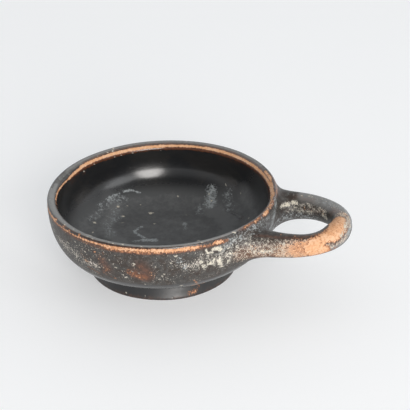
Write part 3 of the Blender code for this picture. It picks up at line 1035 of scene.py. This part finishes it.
def blackGlossClay():
    material = bpy.data.materials.new("blackGlossClay")
    material.use_nodes = True
    tree = material.node_tree
    shader = tree.nodes["Principled BSDF"]
    place = tree.nodes.new("ShaderNodeTexCoord").outputs["Object"]

    def attribute(name):
        made = add(tree, "Attribute")
        made.attribute_name = name
        return made.outputs["Fac"]

    def grain(size, detail=3.0, roughness=0.5, offset=0.0):
        # noise about 0.5, with humps about this size in millimetres
        moved = add(tree, "VectorMath", Vector=place)
        moved.inputs[1].default_value = (offset, -offset, offset * 2)
        return add(tree, "TexNoise", Vector=moved.outputs[0], Scale=1 / (size * mm),
                   Detail=detail, Roughness=roughness).outputs["Fac"]

    cloud, patches, coarse = grain(16, 2), grain(6, 3), grain(2.6, 4, 0.55)
    fine, dust = grain(1.2, 3, 0.6), grain(0.6, 2, 0.6)
    bare, pepper, crust = (attribute(name) for name in ("bare", "pepper", "crust"))
    rust, hazeAndSheen, satin = (attribute(name) for name in ("rust", "hazeAndSheen", "satin"))
    fleck, worn, film = (attribute(name) for name in ("fleck", "worn", "film"))

    # gloss, worn gloss with a painted sheen where it is strongest, and film
    ragged = total(centred(fine, 1.7), centred(dust, 0.9))
    brownShare = fade(total(cloud, centred(coarse, 0.5)), 0.35, 0.65)
    colour = blend(brownShare, finish["gloss"], finish["glossBrown"])
    wornShare = fade(total(worn, centred(patches, 0.7), centred(fine, 0.6)), 0.15, 0.75)
    greyShare = fade(total(cloud, centred(coarse, 1.0)), 0.38, 0.62)
    wornColour = blend(greyShare, finish["wornBrown"], finish["wornGrey"])
    paleShare = fade(total(times(worn, 0.5), centred(coarse, 1.0), centred(fine, 1.2)), 0.30, 0.62)
    wornColour = blend(paleShare, wornColour, finish["wornPale"])
    # the strongest wear turns pale grey: worn gloss, with a painted sheen on the lip top and the far strand
    # and a painted highlight on the near crest
    greyWearAndSheenShare = fade(total(worn, centred(coarse, 1.2), centred(fine, 1.0)), 0.9, 2.3)
    wornColour = blend(greyWearAndSheenShare, wornColour, finish["greyWearAndSheen"])
    colour = blend(wornShare, colour, wornColour)
    filmShare = fade(film, 0.0, 1.0)
    filmClouds = total(film, centred(patches, 1.0), centred(coarse, 0.8), centred(fine, 0.7))
    filmColour = blend(fade(filmClouds, 0.65, 1.55), finish["film"], finish["filmLight"])
    colour = blend(filmShare, colour, filmColour)

    # thin red gloss, bluish film, and a painted sheen in the hollows at the handle's roots
    rustShare = fade(total(rust, centred(coarse, 1.0), centred(fine, 0.7)), 0.15, 1.15)
    hazeAndSheenShare = fade(uneven(hazeAndSheen, total(centred(coarse, 1.2), ragged)), 0.22, 0.95)
    colour = blend(times(rustShare, 0.92), colour, finish["rust"])
    colour = blend(times(hazeAndSheenShare, 0.88), colour, finish["hazeAndSheen"])

    # bare clay, darker where it is only just through, with a brown rim
    bareEdge = uneven(bare, ragged)
    clumps = total(centred(patches, 1.0), centred(coarse, 1.2))
    pepperEdge = uneven(pepper, total(clumps, centred(fine, 1.8), centred(dust, 2.2)))
    pepperShare = fade(pepperEdge, 0.45, 0.80)
    clay = blend(fade(total(patches, centred(fine, 1.2)), 0.35, 0.70), finish["clay"], finish["clayPale"])
    pepperClay = fade(total(pepper, centred(coarse, 1.2)), 0.45, 0.95)
    pepperClay = blend(pepperClay, finish["pepperPale"], clay)
    clay = blend(fade(bareEdge, 0.50, 0.98), finish["clayDark"], clay)
    colour = blend(fade(bareEdge, 0.12, 0.50), colour, finish["edge"])
    colour = blend(times(fade(pepper, 0.2, 0.9), 0.8), colour, finish["edge"])
    colour = blend(pepperShare, colour, pepperClay)
    bareShare = fade(bareEdge, 0.46, 0.60)
    colour = blend(bareShare, colour, clay)

    # lime crust
    crustEdge = uneven(crust, total(clumps, centred(fine, 1.5), centred(dust, 1.4)))
    crustShare = fade(crustEdge, 0.44, 0.86)
    colour = blend(times(fade(crustEdge, 0.15, 0.55), 0.35), colour, finish["crustGrey"])
    limeShare = fade(total(crustEdge, centred(coarse, 0.5)), 0.50, 1.05)
    lime = blend(limeShare, finish["crustGrey"], finish["crust"])
    colour = blend(crustShare, colour, lime)

    # flecks of two sizes, crowded in places; orange ones where the clay is near
    crowding = fade(total(patches, centred(cloud, 1.0)), 0.25, 0.65)
    crowd = times(fleck, maths("MULTIPLY_ADD", crowding, 0.5, 0.5))
    smallFlecks = specks(grain(0.55, 1, 0.5, 0.4), crowd)
    largeFlecks = specks(grain(1.5, 2, 0.6, 0.7), times(crowd, 0.6))
    fleckShare = times(most(smallFlecks, largeFlecks), 0.85)
    orangeShare = fade(total(rust, pepper, centred(grain(5, 2, 0.5, 0.2), 1.0)), 0.25, 0.55)
    fleckColour = blend(orangeShare, finish["fleck"], finish["fleckOrange"])
    colour = blend(fleckShare, colour, fleckColour)
    plug(shader.inputs["Base Color"], colour)

    bareShare = most(bareShare, pepperShare)
    dull = most(bareShare, most(crustShare, fleckShare))
    roughness = blendNumbers(satin, finish["glossRoughness"], finish["satinRoughness"])
    for share, kind in ((wornShare, "worn"), (filmShare, "film"), (hazeAndSheenShare, "film")):
        roughness = blendNumbers(share, roughness, finish[kind + "Roughness"])
    roughness = total(roughness, centred(fine, 0.12))
    plug(shader.inputs["Roughness"], blendNumbers(dull, roughness, finish["clayRoughness"]))
    plug(shader.inputs["IOR"], finish["ior"])

    height = total(times(crustShare, 0.8), times(fleckShare, 0.3), times(bareShare, -0.5),
                   times(times(fine, worn), 0.6), times(times(dust, bareShare), 0.5))
    bump = add(tree, "Bump", Height=height, Strength=finish["bumpStrength"],
               Distance=finish["bumpDepth"] * mm)
    plug(shader.inputs["Normal"], bump.outputs["Normal"])
    return material


dish.data.materials.clear()
dish.data.materials.append(blackGlossClay())
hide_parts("dish")
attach(dish, "root")
print("dish finished")

studio = {
    "floorRadius": 5.0,
    "floorSides": 96,
    "floorColour": (0.66, 0.665, 0.67),
    "floorRoughness": 0.65,
    "floorGlow": 0.503,  # light that comes up through the white floor
    "behind": (0.95, 0.975, 1.0),
    "behindStrength": 1.25,
    "front": (0.96, 0.975, 1.0),
    "frontStrength": 0.84,
    "brightSide": 100,  # azimuth the soft white surroundings are centred on
    "brightFade": (-0.6, 0.4),  # where they start and end their fade towards the front
    "overhead": (0.11, 0.57),  # how bright they are high up, in front and behind
    "overheadFade": (0.05, 0.75),
    # azimuth, elevation, distance, size, colour and brightness
    "lamps": {
        "frontLamp": (-55, 17, 2.5, (1.25, 1.6), (1.0, 0.97, 0.94), 11),
        "sidePanel": (-16, 27, 2.5, (1.7, 0.9), (0.97, 0.985, 1.0), 2.4),
    },
}
bm = bmesh.new()
bmesh.ops.create_circle(bm, cap_ends=True, segments=studio["floorSides"], radius=studio["floorRadius"])
floor = asObject("floor", bm)
floorMaterial = bpy.data.materials.new("paleFloor")
floorMaterial.use_nodes = True
floorShader = floorMaterial.node_tree.nodes["Principled BSDF"]
for name, value in (("Base Color", "floorColour"), ("Roughness", "floorRoughness"),
                    ("Emission Color", "floorColour"), ("Emission Strength", "floorGlow")):
    plug(floorShader.inputs[name], studio[value])
floor.data.materials.append(floorMaterial)


def pointing(azimuth, elevation):
    side, rise = math.radians(azimuth), math.radians(elevation)
    return Vector((math.cos(rise) * math.cos(side), math.cos(rise) * math.sin(side), math.sin(rise)))


def softSurroundings():
    # white all round, dimmer overhead and towards the camera
    world = bpy.data.worlds.new("softSurroundings")
    bpy.context.scene.world = world
    world.use_nodes = True
    tree = world.node_tree
    direction = tree.nodes.new("ShaderNodeTexCoord").outputs["Generated"]

    def fadeAlong(axis, limits):
        along = add(tree, "VectorMath")
        along.operation = "DOT_PRODUCT"
        plug(along.inputs[0], direction)
        plug(along.inputs[1], axis)
        return fade(along.outputs["Value"], *limits)

    height = fadeAlong((0, 0, 1), studio["overheadFade"])
    sides = []
    for side, share in zip(("front", "behind"), studio["overhead"]):
        colour = [part * studio[side + "Strength"] for part in studio[side]]
        sides.append(blend(height, colour, [part * share for part in colour]))
    across = fadeAlong(pointing(studio["brightSide"], 0), studio["brightFade"])
    plug(tree.nodes["Background"].inputs["Color"], blend(across, *sides))


def addLamp(name, azimuth, elevation, distance, size, colour, brightness):
    # brightness is the lamp's own, as seen in a mirror; 1 is white
    data = bpy.data.lights.new(name, "AREA")
    data.shape = "ELLIPSE"
    data.size, data.size_y = size
    data.energy = brightness * math.pi * math.pi * size[0] * size[1] / 4
    data.color = colour
    made = bpy.data.objects.new(name, data)
    towards = pointing(azimuth, elevation)
    made.location = Vector((0, 0, cadHigh.z / 2)) + towards * distance
    made.rotation_euler = towards.to_track_quat("Z", "Y").to_euler()
    bpy.context.scene.collection.objects.link(made)


softSurroundings()
for name, lamp in studio["lamps"].items():
    addLamp(name, *lamp)

view = {
    "lens": 122.9,
    "azimuth": -71.1,
    "elevation": 28.83,
    "distance": 0.7802,
    "aim": (-0.0042, 0.0214, 0.0274),
    "roll": 0.6,
    "sensor": 36,
}
back = pointing(view["azimuth"], view["elevation"])
right = Vector((0, 0, 1)).cross(back).normalized()
up = back.cross(right)
facing = Matrix((right, up, back)).transposed().to_4x4()
cameraData = bpy.data.cameras.new("camera")
cameraData.lens = view["lens"]
cameraData.sensor_width = view["sensor"]
camera = bpy.data.objects.new("camera", cameraData)
roll = Matrix.Rotation(math.radians(-view["roll"]), 4, "Z")
camera.matrix_world = Matrix.Translation(Vector(view["aim"]) + back * view["distance"]) @ facing @ roll
bpy.context.scene.collection.objects.link(camera)
bpy.context.scene.camera = camera
bpy.context.scene.view_settings.view_transform = "Standard"
print("studio set")
